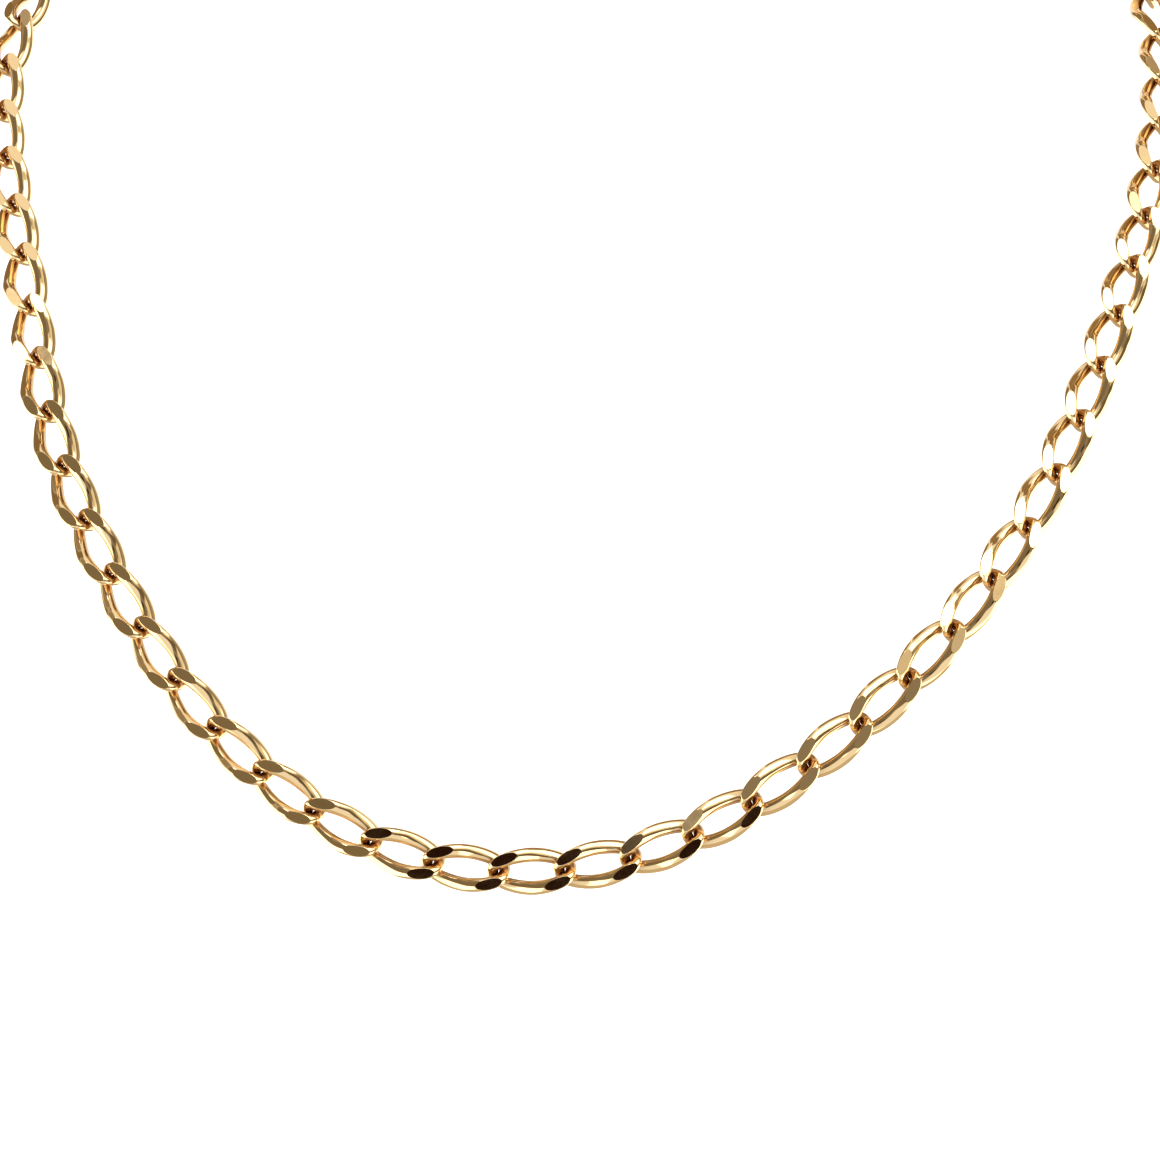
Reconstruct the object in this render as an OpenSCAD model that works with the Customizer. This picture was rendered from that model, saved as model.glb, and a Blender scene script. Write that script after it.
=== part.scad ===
// Curb chain necklace in gold-plated brass, in the closed loop in which it is worn.
// The origin is the middle of the clasp, at the nape of the neck. +Z is up and -Y is the front.
// Each link is an oval of wire, twisted about its length, with its high shoulders cut flat
// on the front and on the back. Sizes are in millimetres and angles in degrees.

/* [Necklace] */
// Length of the closed necklace, to the nearest whole link
necklace_length = 457; // [380:1:600]

/* [Links] */
// Outer length of a link
link_length = 9.7; // [9.2:0.1:11]
// Outer width of a link before the twist
link_width = 5.15; // [5.05:0.05:6]
// Thickness of the wire where one link hooks into the next
hook_wire = 1.15; // [0.8:0.05:1.2]
// Width of the wire along the sides of a link
side_wire = 1.5; // [1.2:0.05:1.55]
// Depth of the wire, from front to back of an untwisted link, where it hooks
hook_depth = 0.95; // [0.8:0.05:1]
// Depth of the wire along the sides of a link, before the cuts
side_depth = 1.4; // [1:0.05:1.5]
// Twist from the middle of a link to each end
link_twist = 46; // [44:1:54]
// Evenness of the twist, where 1 is even and less gathers it near the middle of the link
twist_power = 0.75; // [0.7:0.05:1]
// Squareness of the oval, where 2 is an ellipse
oval_power = 3; // [2.9:0.1:3.4]
// Thickness left between the front cut and the back cut
cut_thickness = 2.6; // [2.3:0.05:2.9]

/* [Clasp] */
// Length of the clasp over its two ends
clasp_length = 14; // [12:0.5:18]
// Thickness of the wire of the eye at the end of the clasp
eye_wire = 1.1; // [0.9:0.05:1.3]
// Diameter of the hole in the eye
eye_hole = 1.8; // [1.6:0.1:2.4]
// Thickness of the claw of the clasp
claw_wire = 1.6; // [1.2:0.05:1.8]
// Diameter of the hole in the claw
claw_hole = 2.8; // [2:0.1:3.2]
// Diameter of the clasp's barrel at the claw
barrel_width = 3.4; // [2.8:0.1:4]
// Diameter of the clasp's barrel at the eye
barrel_neck = 1.8; // [1.4:0.1:2.2]
// Thickness of the wire of the two jump rings
ring_wire = 1; // [0.8:0.05:1.1]
// Diameter of the hole in the jump rings
ring_hole = 3.4; // [3.2:0.1:4]

/* [Clearance] */
// Clearance between two pieces that hook into each other
hook_gap = 0.2; // [0.18:0.01:0.3]

/* [Hidden] */
$fn = 48;

// Route of the chain's middle line from the nape round the wearer's right side, the chest and back.
// Columns: x, y, z and the lean of the links, from 0 standing to 90 lying with the face up.
route = [
    [0, 0, 0, 58],
    [-30.5, -4.5, -3, 64],
    [-54, -18.5, -13, 76],
    [-64.5, -38.5, -27.5, 80],
    [-60.5, -63, -47.5, 72],
    [-54, -82.5, -67.5, 53],
    [-38.5, -99, -89, 31],
    [-17.5, -108, -101.5, 17],
    [7, -110.5, -101.5, 18],
    [30, -108, -89, 27],
    [49, -97.5, -70.5, 47],
    [61, -79.5, -50, 69],
    [68.5, -54, -30, 78],
    [67, -33.5, -17, 82],
    [54, -15.5, -7, 76],
    [30.5, -3.5, -1.5, 64],
];
route_steps = 24;

// Plated brass and the brighter brass of the clasp
chain_colour = "#d9b45c";
clasp_colour = "#e2c06a";

// Each piece hooks into the next at a joint, so a piece's run is its inner length less the gap
link_run = link_length - 2 * hook_wire - hook_gap;
ring_run = ring_hole - hook_gap;
clasp_inner = clasp_length - eye_wire - claw_wire;
clasp_run = clasp_inner - hook_gap;
fastening_run = clasp_run + 2 * ring_run;
link_count = round((necklace_length - fastening_run) / link_run);
left_count = floor(link_count / 2);
loop_length = link_count * link_run + fastening_run;

// The wire of a link: stations round the oval and corners round the wire
oval_sides = 16;
wire_sides = 6;

// A jump ring crosses the flat clasp and the twisted end link at the same angle
ring_tilt = 90 - link_twist / 2;

// Smooth curve from point b to point c, where a comes before them and d after
function bend(a, b, c, d, t) =
    (2 * b + (c - a) * t + (2 * a - 5 * b + 4 * c - d) * t ^ 2 + (3 * b - a - 3 * c + d) * t ^ 3) / 2;
function unit(v) = v / norm(v);
function place(v) = [v.x, v.y, v.z];
function route_point(k) = route[(k + len(route)) % len(route)];

curve = [
    for (k = [0 : len(route) - 1], j = [0 : route_steps - 1])
        bend(route_point(k - 1), route_point(k), route_point(k + 1), route_point(k + 2), j / route_steps),
    route[0]
];
curve_run = [
    for (i = 0, run = 0; i < len(curve);
         i = i + 1, run = i < len(curve) ? run + norm(place(curve[i]) - place(curve[i - 1])) : run)
        run
];
curve_length = curve_run[len(curve_run) - 1];
route_scale = loop_length / curve_length;
curve_tables = [for (column = [0 : 3]) [for (i = [0 : len(curve) - 1]) [curve_run[i], curve[i][column]]]];

// Place and lean of the route at a distance from the nape, either way round
function curve_at(s) = (s % loop_length + loop_length) % loop_length / route_scale;
function route_at(s) = [for (column = [0 : 2]) lookup(curve_at(s), curve_tables[column])] * route_scale;
function lean_at(s) = lookup(curve_at(s), curve_tables[3]);

// Frame of a piece whose joints lie at two distances: x along the chain, z out of its face
function piece_frame(s0, s1) =
    let (
        start = route_at(s0),
        end = route_at(s1),
        along = unit(end - start),
        outward = unit([along.y, -along.x, 0]),
        upward = cross(outward, along),
        lean = lean_at((s0 + s1) / 2),
        face = outward * cos(lean) + upward * sin(lean),
        across = cross(face, along),
        middle = (start + end) / 2
    )
    [
        [along.x, across.x, face.x, middle.x],
        [along.y, across.y, face.y, middle.y],
        [along.z, across.z, face.z, middle.z],
        [0, 0, 0, 1]
    ];

// Middle line of the wire in a flat link, and the direction out of the link there
oval_length = (link_length - hook_wire) / 2;
oval_width = (link_width - side_wire) / 2;
function curl(v, power) = sign(v) * abs(v) ^ power;
function oval_point(t) =
    [oval_length * curl(cos(t), 2 / oval_power), oval_width * curl(sin(t), 2 / oval_power)];
function oval_normal(t) =
    let (power = 2 - 2 / oval_power)
    unit([curl(cos(t), power) / oval_length, curl(sin(t), power) / oval_width]);

// Corner of the wire's six-sided section, twisted with the link and held between the two cuts
function wire_corner(t, turn) =
    let (
        out = oval_normal(t),
        half_width = (hook_wire + (side_wire - hook_wire) * out.y ^ 2) / 2,
        half_depth = (hook_depth + (side_depth - hook_depth) * out.y ^ 4) / 2,
        flat = oval_point(t) + out * half_width * cos(turn),
        rise = half_depth * sin(turn) / sin(360 / wire_sides),
        roll = link_twist * curl(flat.x / oval_length, twist_power),
        high = rise * cos(roll) - flat.y * sin(roll)
    )
    [flat.x, flat.y * cos(roll) + rise * sin(roll), sign(high) * min(abs(high), cut_thickness / 2)];

link_points = [
    for (i = [0 : oval_sides - 1], k = [0 : wire_sides - 1])
        wire_corner(360 * i / oval_sides, 360 * k / wire_sides)
];
function link_corner(i, k) = (i % oval_sides) * wire_sides + k % wire_sides;
link_faces = [
    for (i = [0 : oval_sides - 1], k = [0 : wire_sides - 1], half = [0, 1])
        half == 0
            ? [link_corner(i, k), link_corner(i + 1, k + 1), link_corner(i + 1, k)]
            : [link_corner(i, k), link_corner(i, k + 1), link_corner(i + 1, k + 1)]
];

// Links of one stretch of the chain, counted from the clasp's left ring
module links(first, count) {
    for (i = [first : first + count - 1]) {
        start = fastening_run / 2 + i * link_run;
        multmatrix(piece_frame(start, start + link_run))
            polyhedron(link_points, link_faces);
    }
}

// Round ring of wire that lies flat, centred
module wire_ring(hole, wire) {
    rotate_extrude()
        translate([(hole + wire) / 2, 0])
            circle(d = wire);
}

// Jump ring between the clasp and one end of the chain, on the side given as 1 or -1
module jump_ring(side) {
    near = side * clasp_run / 2;
    far = side * fastening_run / 2;
    multmatrix(piece_frame(min(near, far), max(near, far)))
        rotate([-side * ring_tilt, 0, 0])
            wire_ring(ring_hole, ring_wire);
}

module left_chain() {
    color(chain_colour) links(0, left_count);
}

module right_chain() {
    color(chain_colour) links(left_count, link_count - left_count);
}

// Drop-shaped barrel of the clasp, from the middle of the eye's wire to the middle of the claw's
module barrel() {
    start = -clasp_inner / 2 + eye_hole + eye_wire / 2;
    end = clasp_inner / 2 - claw_hole - claw_wire / 2;
    radius = barrel_width / 2;
    rotate([0, 90, 0])
        rotate_extrude()
            polygon([
                [0, start],
                [barrel_neck / 2, start],
                for (turn = [0 : 15 : 90]) [radius * cos(turn), end - radius * (1 - sin(turn))]
            ]);
}

// Plain closed clasp: an eye, a barrel and a round claw, in one piece
module clasp() {
    color(clasp_colour)
        multmatrix(piece_frame(-clasp_run / 2, clasp_run / 2)) {
            translate([-(clasp_inner - eye_hole) / 2, 0, 0])
                wire_ring(eye_hole, eye_wire);
            translate([(clasp_inner - claw_hole) / 2, 0, 0])
                wire_ring(claw_hole, claw_wire);
            barrel();
        }
}

module left_ring() {
    color(clasp_colour) jump_ring(1);
}

module right_ring() {
    color(clasp_colour) jump_ring(-1);
}

left_chain();
right_chain();
clasp();
left_ring();
right_ring();
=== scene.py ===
"""Looks of the curb chain necklace: gold-plated links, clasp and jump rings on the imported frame."""
import math

import bmesh
import bpy
import numpy as np
from mathutils import Matrix, Vector


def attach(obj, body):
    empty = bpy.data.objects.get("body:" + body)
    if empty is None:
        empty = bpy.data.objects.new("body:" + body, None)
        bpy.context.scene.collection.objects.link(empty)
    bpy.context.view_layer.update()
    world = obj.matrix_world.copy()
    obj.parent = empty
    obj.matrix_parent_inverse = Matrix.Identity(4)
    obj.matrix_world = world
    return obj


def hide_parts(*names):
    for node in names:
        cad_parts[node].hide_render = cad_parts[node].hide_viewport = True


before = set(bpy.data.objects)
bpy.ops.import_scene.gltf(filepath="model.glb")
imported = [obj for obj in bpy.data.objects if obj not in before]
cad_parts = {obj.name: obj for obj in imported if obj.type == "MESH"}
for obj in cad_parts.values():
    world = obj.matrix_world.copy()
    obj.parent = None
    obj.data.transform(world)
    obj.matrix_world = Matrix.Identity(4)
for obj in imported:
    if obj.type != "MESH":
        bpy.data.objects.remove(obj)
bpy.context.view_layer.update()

MM = 0.001
MICRON = MM * MM

# Link of the chain, in millimetres: the frame's link with the real one's rounded wire
LINK_LENGTH = 9.7
LINK_WIDTH = 5.15
# Distance from one joint of the chain to the next
LINK_PITCH = 7.2
# The wire's width in the plane of the oval and its depth out of it, in the hooks and along the sides
HOOK_WIRE = 1.24
SIDE_WIRE = 1.58
HOOK_DEPTH = 1.0
SIDE_DEPTH = 1.42
# Half the length and half the width of the oval that the middle of the wire follows
OVAL_LENGTH = (LINK_LENGTH - HOOK_WIRE) / 2
OVAL_WIDTH = (LINK_WIDTH - SIDE_WIRE) / 2
# Twist from the middle of a link to each end. A power below 1 gathers it near the middle, and the
# ease is the share of the half length over which it passes through the middle without a kink
LINK_TWIST = math.radians(46)
TWIST_POWER = 0.75
TWIST_EASE = 0.2
# Squareness of the oval and of the wire's section, where 2 is an ellipse
OVAL_POWER = 2.9
WIRE_POWER = 2.1
# Stations round the oval, corners round the wire, and steps a station in which the oval is measured
STATIONS = 112
CORNERS = 28
STEPS_A_STATION = 40

# The diamond cuts, in millimetres: thickness left between front and back, the middle of a flat
# along and across the link, and how far a flat tips off the link's face, as rise over run
CUT_THICKNESS = 2.65
FLAT_ALONG = 2.6
FLAT_ACROSS = 1.4
FLAT_TIP_ACROSS = 0.02
# Points nearer to a cut than this lie on it
CUT_WELD = 1e-5

# Share of a point's outlook that wire fills: up to which the plate has no painted shade, and from where
# the painted shade is full and the plate rougher
SHELTER_BRIGHT = 0.12
SHELTER_FULL_SHADE = 0.7
# Square millimetres added to squared distances, so that a face next to a point doesn't count too much
SHELTER_SOFTENING = 0.001
# Points that are worked out at a time, to save memory
SHELTER_BATCH = 400

# Gold plate: its two bright tones, its darker tone of painted shade in the hooks, and how much rougher
# it is there
BRIGHT_PLATE = "#EECE9A"
DEEP_PLATE = "#EBC88E"
HOOK_SHADE_PLATE = "#BC986E"
DULL_ROUGHNESS = 0.15
# The middle stretch of a noise's values, where nearly all of them lie
NOISE_RANGE = (0.35, 0.65)

# Rounding of the clasp and the jump rings: steps of the new skin in millimetres, the share of the way
# that a point moves towards its neighbours, and the number of passes
CLASP_STEP = 0.08
RING_STEP = 0.05
ROUNDING_SHARE = 0.5
ROUNDING_PASSES = 12

# Camera: where it stands in metres, how far it looks down, its lens on a 36 mm sensor, and the
# nearest distance that it shows
CAMERA_PLACE = (0.00234, -0.68149, 0.08265)
CAMERA_DOWN = math.radians(15)
CAMERA_LENS = 173.2
SENSOR = 36.0
CAMERA_NEAREST = 0.01

# Floor: height and width in metres, and the brightness of the light that comes through it
FLOOR_HEIGHT = -0.45
FLOOR_SIZE = 14.0
SHEET_GLOW = 0.8

# The tent round the necklace, as directions from it in degrees: azimuth 0 is the front (-Y), 90 is +X,
# and past 180 it goes on round the back. Later patches lie over earlier ones. They were placed to
# give the flats and the long sides what they mirror in the photo.
# Columns: azimuth from and to, elevation from and to, softness of the edge, colour, brightness
TENT_PATCHES = [
    # Low down: straight below, a bright sheet at each side, and a dimmer one in front
    (-180, 180, -90, -46, 12, "#FFF5E6", 0.7),
    (-140, -42, -46, 1, 5, "#FFFFFF", 2.9),
    (28, 150, -46, 1, 5, "#FFFFFF", 2.9),
    (-42, 28, -46, 3, 8, "#F2F6FF", 1.2),
    # Overhead, and a bright strip on the -X side
    (-180, 180, 64, 120, 3, "#FFFFFF", 1.1),
    (-82, -50, 58, 65, 2, "#FFFFFF", 3.6),
    # Brown cards, from behind on the -X side round to the front
    (-152, -112, -4, 58, 8, "#FFDCAC", 0.27),
    (-112, -84, 12, 62, 8, "#FFECCE", 0.36),
    (-84, -12, 4, 58, 2, "#FFF0D5", 0.24),
    (-12, 18, 5, 36, 5, "#FFF6E8", 0.3),
    # Pale cards on the +X side, with dark ones over them
    (66, 114, 4, 42, 8, "#FFF6EA", 0.42),
    (18, 60, 22, 42, 4, "#FFF8E8", 1.0),
    (15, 66, 0, 24, 4, "#FFEFD8", 0.17),
    (56, 70, 0, 34, 4, "#FFEFD8", 0.19),
    # Warm cards high at the back
    (106, 166, 40, 68, 6, "#FFD8A4", 0.33),
    (166, 199, 24, 68, 6, "#FFD8A4", 0.33),
    # Panels high on the +X side, mirrored by the white flats
    (-3, 34, 35, 46, 4, "#FFFAF0", 0.8),
    (8, 60, 43, 86, 3, "#FFFFFF", 3.8),
    (45, 88, 38, 64, 6, "#FFFFFF", 3.0),
    (45, 106, 64, 86, 4, "#FFFFFF", 3.8),
    # A small dark card in front, mirrored by the black flats at the bottom of the loop
    (-22, -6, 9, 20, 2, "#FFA998", 0.021),
]
# Colour and brightness of the cloth between the patches, and brightness of the white behind it all
TENT_CLOTH = ("#F2F6FF", 1.3)
BACKDROP_WHITE = 1.2


def linear(hex_colour):
    """An sRGB hex colour as linear red, green, blue and alpha."""
    parts = [int(hex_colour[i:i + 2], 16) / 255 for i in (1, 3, 5)]
    return [c / 12.92 if c <= 0.04045 else ((c + 0.055) / 1.055) ** 2.4 for c in parts] + [1.0]


def glow(hex_colour, brightness):
    """The light that a surface of this colour sends out, as linear red, green, blue and alpha."""
    return [part * brightness for part in linear(hex_colour)[:3]] + [1.0]


def socket(sockets, name):
    """The socket with this name or number; where several share a name, the one that is in use."""
    if isinstance(name, int):
        return sockets[name]
    return next(s for s in sockets if s.name == name and s.enabled)


def add(tree, kind, inputs=None, **settings):
    """Adds a node with its settings; an input that is a socket is linked, any other is a value."""
    node = tree.nodes.new(kind)
    for name, value in settings.items():
        setattr(node, name, value)
    for name, value in (inputs or {}).items():
        target = socket(node.inputs, name)
        if isinstance(value, bpy.types.NodeSocket):
            tree.links.new(value, target)
        else:
            target.default_value = value
    return node


def new_material(name):
    """An empty node material and its tree."""
    material = bpy.data.materials.new(name)
    material.use_nodes = True
    material.node_tree.nodes.clear()
    return material, material.node_tree


def polished_gold_plate(name, plate_mm, polish, marks_mm, marks_depth_mm):
    """Gold plate on brass, polished: a warm mirror whose tone and polish drift a little.

    plate_mm is the size of the patches of tone, with three smudges to a patch, and polish the lowest
    and highest roughness. marks_mm and marks_depth_mm are the spacing and depth of the fine handling
    marks. They are drawn coarser than the real ones, which are too fine to show. In the hooks, where
    the links shelter each other, the plate is rougher and shade is painted into it as a darker brown
    tone. A mesh without the shelter attribute has no painted shade.
    """
    material, tree = new_material(name)
    place = add(tree, "ShaderNodeTexCoord").outputs["Object"]
    patches = add(tree, "ShaderNodeTexNoise", {
        "Vector": place, "Scale": 1 / (plate_mm * MM), "Detail": 3.0})
    bright = add(tree, "ShaderNodeMix", {
        "Factor": patches.outputs["Fac"], "A": linear(BRIGHT_PLATE), "B": linear(DEEP_PLATE)},
        data_type="RGBA")
    # Painted shade: the shelter attribute darkens the tone towards a brown in the hooks, and also makes
    # the plate rougher there
    hook_shade_and_roughening = add(tree, "ShaderNodeAttribute", attribute_name="shelter").outputs["Fac"]
    tone = add(tree, "ShaderNodeMix", {
        "Factor": hook_shade_and_roughening, "A": socket(bright.outputs, "Result"), "B": linear(HOOK_SHADE_PLATE)},
        data_type="RGBA")
    smudges = add(tree, "ShaderNodeTexNoise", {
        "Vector": place, "Scale": 3 / (plate_mm * MM), "Detail": 5.0, "Roughness": 0.6})
    roughness = add(tree, "ShaderNodeMapRange", {
        "Value": smudges.outputs["Fac"], "From Min": NOISE_RANGE[0], "From Max": NOISE_RANGE[1],
        "To Min": polish[0], "To Max": polish[1]})
    roughness = add(tree, "ShaderNodeMath", {
        0: hook_shade_and_roughening, 1: DULL_ROUGHNESS, 2: roughness.outputs["Result"]}, operation="MULTIPLY_ADD")
    marks = add(tree, "ShaderNodeTexNoise", {
        "Vector": place, "Scale": 1 / (marks_mm * MM), "Detail": 6.0, "Roughness": 0.7})
    bump = add(tree, "ShaderNodeBump", {
        "Height": marks.outputs["Fac"], "Strength": 1.0, "Distance": marks_depth_mm * MM})
    shader = add(tree, "ShaderNodeBsdfPrincipled", {
        "Base Color": socket(tone.outputs, "Result"), "Metallic": 1.0,
        "Roughness": roughness.outputs["Value"], "Normal": bump.outputs["Normal"]})
    add(tree, "ShaderNodeOutputMaterial", {"Surface": shader.outputs["BSDF"]})
    return material


def lit_acrylic(name):
    """Cast opal acrylic sheet lit from below, as for cut-out pictures: an even white with no shadow."""
    material, tree = new_material(name)
    shader = add(tree, "ShaderNodeBsdfPrincipled", {
        "Base Color": linear("#F4F3F1"), "Roughness": 0.9,
        "Emission Color": linear("#FFFFFF"), "Emission Strength": SHEET_GLOW})
    add(tree, "ShaderNodeOutputMaterial", {"Surface": shader.outputs["BSDF"]})
    return material


def curl(value, power):
    """Value to a power, with its sign kept."""
    return np.sign(value) * np.abs(value) ** power


def oval(around):
    """Points on the middle line of a flat link's wire, at angles in radians."""
    return np.stack([
        OVAL_LENGTH * curl(np.cos(around), 2 / OVAL_POWER),
        OVAL_WIDTH * curl(np.sin(around), 2 / OVAL_POWER),
    ], 1)


def oval_outward(around):
    """Directions out of the oval in its plane, at angles in radians."""
    out = np.stack([
        curl(np.cos(around), 2 - 2 / OVAL_POWER) / OVAL_LENGTH,
        curl(np.sin(around), 2 - 2 / OVAL_POWER) / OVAL_WIDTH,
    ], 1)
    return out / np.linalg.norm(out, axis=1)[:, None]


def even_stations():
    """Angles of stations that lie evenly along the wire, so that reflections run smoothly over it."""
    fine = np.linspace(0, 2 * math.pi, STEPS_A_STATION * STATIONS + 1)
    run = np.append(0, np.cumsum(np.linalg.norm(np.diff(oval(fine), axis=0), axis=1)))
    return np.interp(np.arange(STATIONS) / STATIONS * run[-1], run, fine)


def twist(reach):
    """Roll of the link about its length, where reach is -1 and 1 at the ends of the oval."""
    gathering = (reach ** 2 + TWIST_EASE ** 2) / (1 + TWIST_EASE ** 2)
    return LINK_TWIST * reach * gathering ** ((TWIST_POWER - 1) / 2)


def wire_grid():
    """Points on the wire of one link before the cuts, in millimetres: stations by corners by 3."""
    around = even_stations()
    turn = np.arange(CORNERS) / CORNERS * 2 * math.pi
    out = oval_outward(around)
    half_width = (HOOK_WIRE + (SIDE_WIRE - HOOK_WIRE) * out[:, 1] ** 2) / 2
    half_depth = (HOOK_DEPTH + (SIDE_DEPTH - HOOK_DEPTH) * out[:, 1] ** 4) / 2
    sideways = half_width[:, None] * curl(np.cos(turn), 2 / WIRE_POWER)
    flat = oval(around)[:, None] + out[:, None] * sideways[..., None]
    rise = half_depth[:, None] * curl(np.sin(turn), 2 / WIRE_POWER)
    roll = twist(flat[..., 0] / OVAL_LENGTH)
    return np.stack([
        flat[..., 0],
        flat[..., 1] * np.cos(roll) + rise * np.sin(roll),
        rise * np.cos(roll) - flat[..., 1] * np.sin(roll),
    ], -1)


def cut_flat(bm, face, half):
    """Cuts the high shoulder of a link on its front or back (face 1 or -1), in one half of its length.

    Returns the new flat. half is -1 or 1, the sign of x there.
    """
    side = -face * half
    normal = Vector((0, side * FLAT_TIP_ACROSS, face)).normalized()
    near = [f for f in bm.faces if f.calc_center_median().x * half > 0]
    # A dictionary keeps each part once and in the same order on every run
    parts = dict.fromkeys(near)
    for f in near:
        parts.update(dict.fromkeys(f.edges))
        parts.update(dict.fromkeys(f.verts))
    middle_of_flat = Vector((half * FLAT_ALONG, side * FLAT_ACROSS, face * CUT_THICKNESS / 2))
    cut = bmesh.ops.bisect_plane(
        bm, geom=list(parts), dist=CUT_WELD, plane_co=middle_of_flat, plane_no=normal, clear_outer=True)
    rim = [e for e in cut["geom_cut"] if isinstance(e, bmesh.types.BMEdge)]
    return bmesh.ops.edgeloop_fill(bm, edges=rim)["faces"]


def master_link():
    """One finished link: its points in millimetres, its faces, which of them are flats, its shelter."""
    bm = bmesh.new()
    rows = [[bm.verts.new(point) for point in row] for row in wire_grid()]
    for i in range(STATIONS):
        near, far = rows[i], rows[(i + 1) % STATIONS]
        for k in range(CORNERS):
            after = (k + 1) % CORNERS
            bm.faces.new((near[k], near[after], far[after], far[k]))
    flats = []
    for face in (1, -1):
        for half in (-1, 1):
            flats += cut_flat(bm, face, half)
    bmesh.ops.recalc_face_normals(bm, faces=bm.faces)
    bm.verts.index_update()
    bm.normal_update()
    points = np.array([v.co for v in bm.verts])
    faces = [[v.index for v in f.verts] for f in bm.faces]
    flats = set(flats)
    flat_marks = [f in flats for f in bm.faces]
    shades = shelter(bm)
    bm.free()
    return points, faces, flat_marks, shades


def shelter(bm):
    """How sheltered each point of a link is by its own wire and the links on both sides, from 0 to 1."""
    points = np.array([v.co for v in bm.verts])
    outward = np.array([v.normal for v in bm.verts])
    middles = np.array([f.calc_center_median() for f in bm.faces])
    facings = np.array([f.normal * f.calc_area() for f in bm.faces])
    filled = np.zeros(len(points))
    for shift in (-LINK_PITCH, 0, LINK_PITCH):
        for start in range(0, len(points), SHELTER_BATCH):
            batch = slice(start, start + SHELTER_BATCH)
            sight = middles + (shift, 0, 0) - points[batch, None]
            squared = (sight ** 2).sum(-1) + SHELTER_SOFTENING
            leaving = np.maximum(np.einsum("ijk,ik->ij", sight, outward[batch]), 0)
            arriving = np.maximum(-np.einsum("ijk,jk->ij", sight, facings), 0)
            filled[batch] += (leaving * arriving / (math.pi * squared ** 2)).sum(1)
    # 0 where the plate has no painted shade, 1 where the painted shade is full
    return np.clip((filled - SHELTER_BRIGHT) / (SHELTER_FULL_SHADE - SHELTER_BRIGHT), 0, 1)


def link_places(node):
    """Middle and axes of each link of a chain node, from the loose solids of its mesh.

    A link looks the same after a half-turn about any of its axes, so their signs don't matter.
    """
    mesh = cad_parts[node].data
    points = np.array([v.co for v in mesh.vertices])
    # Corners that coincide to the micron are one
    joined, index = np.unique(np.round(points / MICRON).astype(int), axis=0, return_inverse=True)
    index = index.ravel()
    leader = list(range(len(joined)))

    def find(i):
        while leader[i] != i:
            leader[i] = leader[leader[i]]
            i = leader[i]
        return i

    for polygon in mesh.polygons:
        first = find(index[polygon.vertices[0]])
        for v in polygon.vertices[1:]:
            leader[find(index[v])] = first
    groups = {}
    for i, corner in enumerate(joined):
        groups.setdefault(find(i), []).append(corner * MICRON)
    places = []
    for group in groups.values():
        group = np.array(group)
        middle = group.mean(0)
        axes = np.linalg.eigh(np.cov((group - middle).T))[1][:, ::-1]
        axes[:, 2] = np.cross(axes[:, 0], axes[:, 1])
        places.append((middle, axes))
    return places


def add_piece(name, mesh, node):
    """A piece with this mesh, hung from the root body, which replaces a node."""
    piece = bpy.data.objects.new(name, mesh)
    bpy.context.scene.collection.objects.link(piece)
    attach(piece, "root")
    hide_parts(node)


def build_chain(name, node, link, wire_finish, flat_finish):
    """One joined piece with a finished link at each link of a chain node."""
    points, faces, flat_marks, shades = link
    all_points, all_faces, all_marks = [], [], []
    for middle, axes in link_places(node):
        start = len(all_points) * len(points)
        all_points.append(points * MM @ axes.T + middle)
        all_faces += [[v + start for v in face] for face in faces]
        all_marks += flat_marks
    mesh = bpy.data.meshes.new(name)
    mesh.from_pydata(np.concatenate(all_points), [], all_faces)
    # The shelter attribute tells the materials where to paint shade into the hooks
    shade = mesh.attributes.new("shelter", "FLOAT", "POINT")
    shade.data.foreach_set("value", np.tile(shades, len(all_points)))
    mesh.materials.append(wire_finish)
    mesh.materials.append(flat_finish)
    mesh.polygons.foreach_set("use_smooth", [not mark for mark in all_marks])
    mesh.polygons.foreach_set("material_index", [int(mark) for mark in all_marks])
    add_piece(name, mesh, node)


def build_fitting(name, node, step, finish):
    """A fitting in the form of its node, with facets and seams rounded as buffing leaves them."""
    rough = bpy.data.objects.new(name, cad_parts[node].data.copy())
    rough.data.transform(Matrix.Scale(1 / MM, 4))
    bpy.context.scene.collection.objects.link(rough)
    skin = rough.modifiers.new("skin", "REMESH")
    skin.mode = "VOXEL"
    skin.voxel_size = step
    skin.use_smooth_shade = True
    rounding = rough.modifiers.new("rounding", "SMOOTH")
    rounding.factor = ROUNDING_SHARE
    rounding.iterations = ROUNDING_PASSES
    rounded = rough.evaluated_get(bpy.context.evaluated_depsgraph_get())
    mesh = bpy.data.meshes.new_from_object(rounded)
    mesh.transform(Matrix.Scale(MM, 4))
    bpy.data.objects.remove(rough)
    mesh.materials.clear()
    mesh.materials.append(finish)
    add_piece(name, mesh, node)


def build_camera():
    """Camera at the photo's viewing angle, with its depth of field off."""
    data = bpy.data.cameras.new("camera")
    data.lens = CAMERA_LENS
    data.sensor_width = SENSOR
    data.clip_start = CAMERA_NEAREST
    camera = bpy.data.objects.new("camera", data)
    camera.location = CAMERA_PLACE
    camera.rotation_euler = (math.pi / 2 - CAMERA_DOWN, 0, 0)
    bpy.context.scene.collection.objects.link(camera)
    bpy.context.scene.camera = camera


def build_floor():
    """Plain pale floor, well below the hanging necklace."""
    half = FLOOR_SIZE / 2
    corners = [(-half, -half), (half, -half), (half, half), (-half, half)]
    mesh = bpy.data.meshes.new("floor")
    mesh.from_pydata([(x, y, FLOOR_HEIGHT) for x, y in corners], [], [(0, 1, 2, 3)])
    mesh.materials.append(lit_acrylic("opal_acrylic"))
    floor = bpy.data.objects.new("floor", mesh)
    bpy.context.scene.collection.objects.link(floor)
    # The metal mirrors the lower half of the tent in place of the sheet
    floor.visible_glossy = False


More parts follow.
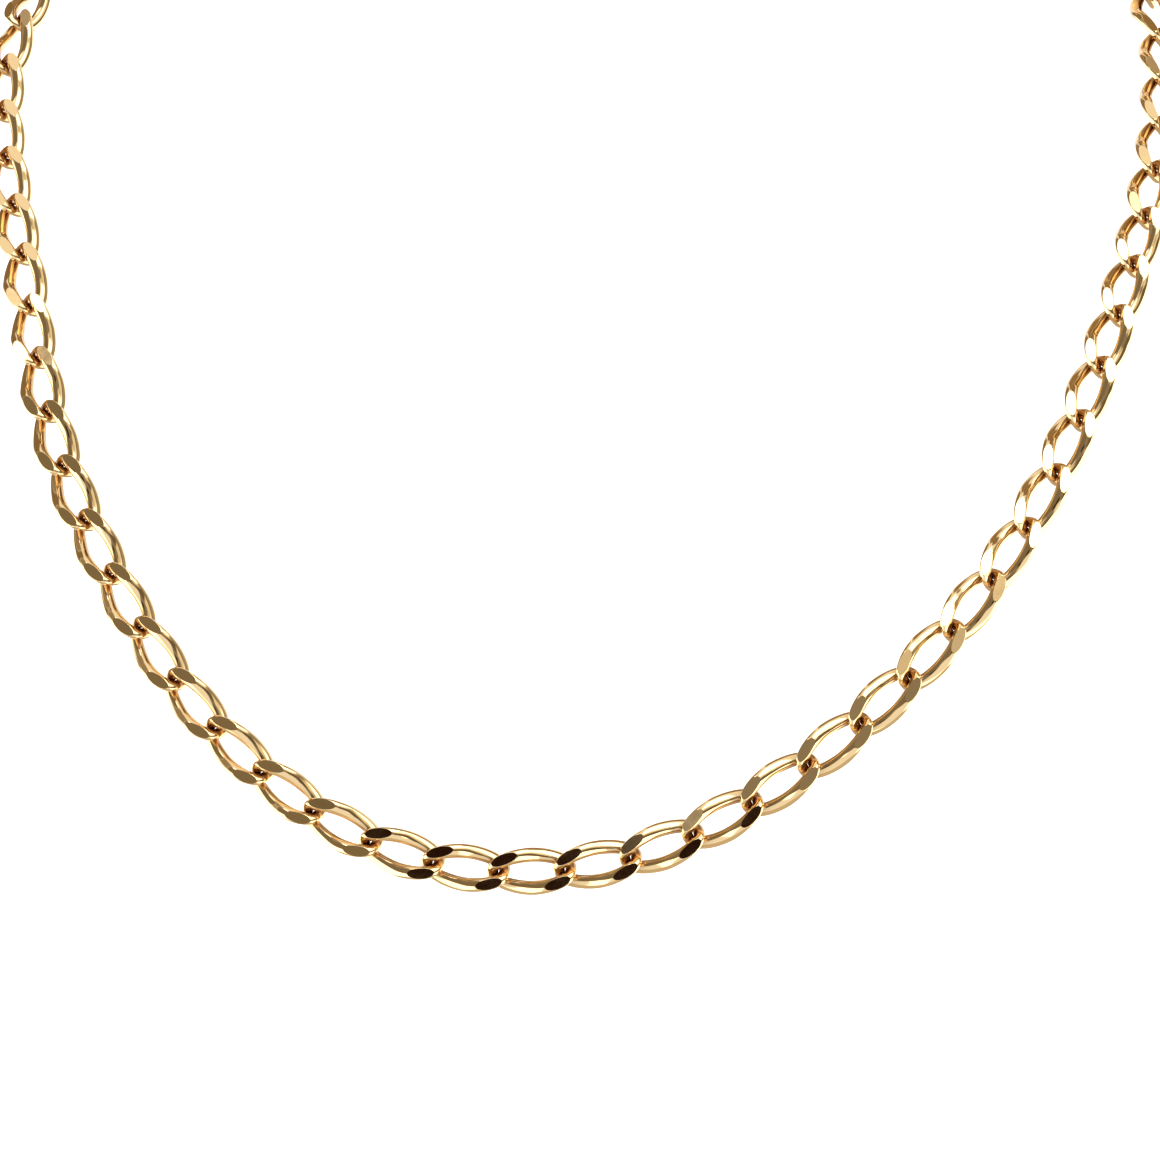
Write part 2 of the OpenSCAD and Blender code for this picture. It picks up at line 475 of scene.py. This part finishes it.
def band(tree, angle, start, end, softness):
    """1 where an angle in radians lies between two values in degrees, with a soft edge down to 0."""
    middle = math.radians(start + end) / 2
    half = math.radians(end - start) / 2
    edge = math.radians(softness) / 2
    offset = add(tree, "ShaderNodeMath", {0: angle, 1: middle}, operation="SUBTRACT")
    turned = add(tree, "ShaderNodeMath", {
        0: offset.outputs["Value"], 1: -math.pi, 2: math.pi}, operation="WRAP")
    reach = add(tree, "ShaderNodeMath", {0: turned.outputs["Value"]}, operation="ABSOLUTE")
    share = add(tree, "ShaderNodeMapRange", {
        "Value": reach.outputs["Value"], "From Min": half + edge, "From Max": half - edge},
        interpolation_type="SMOOTHSTEP")
    return share.outputs["Result"]


def build_tent():
    """World light: a tent of cloth with patches on it, and plain white where the camera looks past."""
    world = bpy.data.worlds.new("tent")
    world.use_nodes = True
    tree = world.node_tree
    tree.nodes.clear()
    place = add(tree, "ShaderNodeTexCoord").outputs["Generated"]
    direction = add(tree, "ShaderNodeSeparateXYZ", {"Vector": place}).outputs
    front = add(tree, "ShaderNodeMath", {0: direction["Y"], 1: -1.0}, operation="MULTIPLY")
    azimuth = add(tree, "ShaderNodeMath", {
        0: direction["X"], 1: front.outputs["Value"]}, operation="ARCTAN2")
    elevation = add(tree, "ShaderNodeMath", {0: direction["Z"]}, operation="ARCSINE")
    light = glow(*TENT_CLOTH)
    for left, right, low, high, softness, colour, brightness in TENT_PATCHES:
        across = band(tree, azimuth.outputs["Value"], left, right, softness)
        upward = band(tree, elevation.outputs["Value"], low, high, softness)
        covered = add(tree, "ShaderNodeMath", {0: across, 1: upward}, operation="MULTIPLY")
        patched = add(tree, "ShaderNodeMix", {
            "Factor": covered.outputs["Value"], "A": light, "B": glow(colour, brightness)},
            data_type="RGBA")
        light = socket(patched.outputs, "Result")
    seen = add(tree, "ShaderNodeLightPath").outputs["Is Camera Ray"]
    shown = add(tree, "ShaderNodeMix", {
        "Factor": seen, "A": light, "B": glow("#FFFFFF", BACKDROP_WHITE)}, data_type="RGBA")
    background = add(tree, "ShaderNodeBackground", {"Color": socket(shown.outputs, "Result")})
    add(tree, "ShaderNodeOutputWorld", {"Surface": background.outputs["Background"]})
    bpy.context.scene.world = world


build_camera()
build_floor()
build_tent()
# Colours are shown as they are, with no film curve
bpy.context.scene.view_settings.view_transform = "Standard"

# Wire: tumbled with steel shot before the cuts, which leaves a bright mirror without sharp marks
wire_finish = polished_gold_plate(
    "gold_plated_brass_tumbled",
    plate_mm=4.0, polish=(0.05, 0.09), marks_mm=0.12, marks_depth_mm=0.0004)
# Flats: cut by a diamond tool and then only plated, which leaves small true mirrors with crisp rims
flat_finish = polished_gold_plate(
    "gold_plated_brass_diamond_cut",
    plate_mm=4.0, polish=(0.05, 0.09), marks_mm=0.06, marks_depth_mm=0.0002)
# Clasp and rings: buffed on a wheel before plating, which leaves a softer mirror with fine marks
fitting_finish = polished_gold_plate(
    "gold_plated_brass_buffed",
    plate_mm=3.0, polish=(0.09, 0.16), marks_mm=0.15, marks_depth_mm=0.0008)

link = master_link()
build_chain("left_links", "left_chain", link, wire_finish, flat_finish)
build_chain("right_links", "right_chain", link, wire_finish, flat_finish)
build_fitting("clasp_casting", "clasp", CLASP_STEP, fitting_finish)
build_fitting("left_jump_ring", "left_ring", RING_STEP, fitting_finish)
build_fitting("right_jump_ring", "right_ring", RING_STEP, fitting_finish)
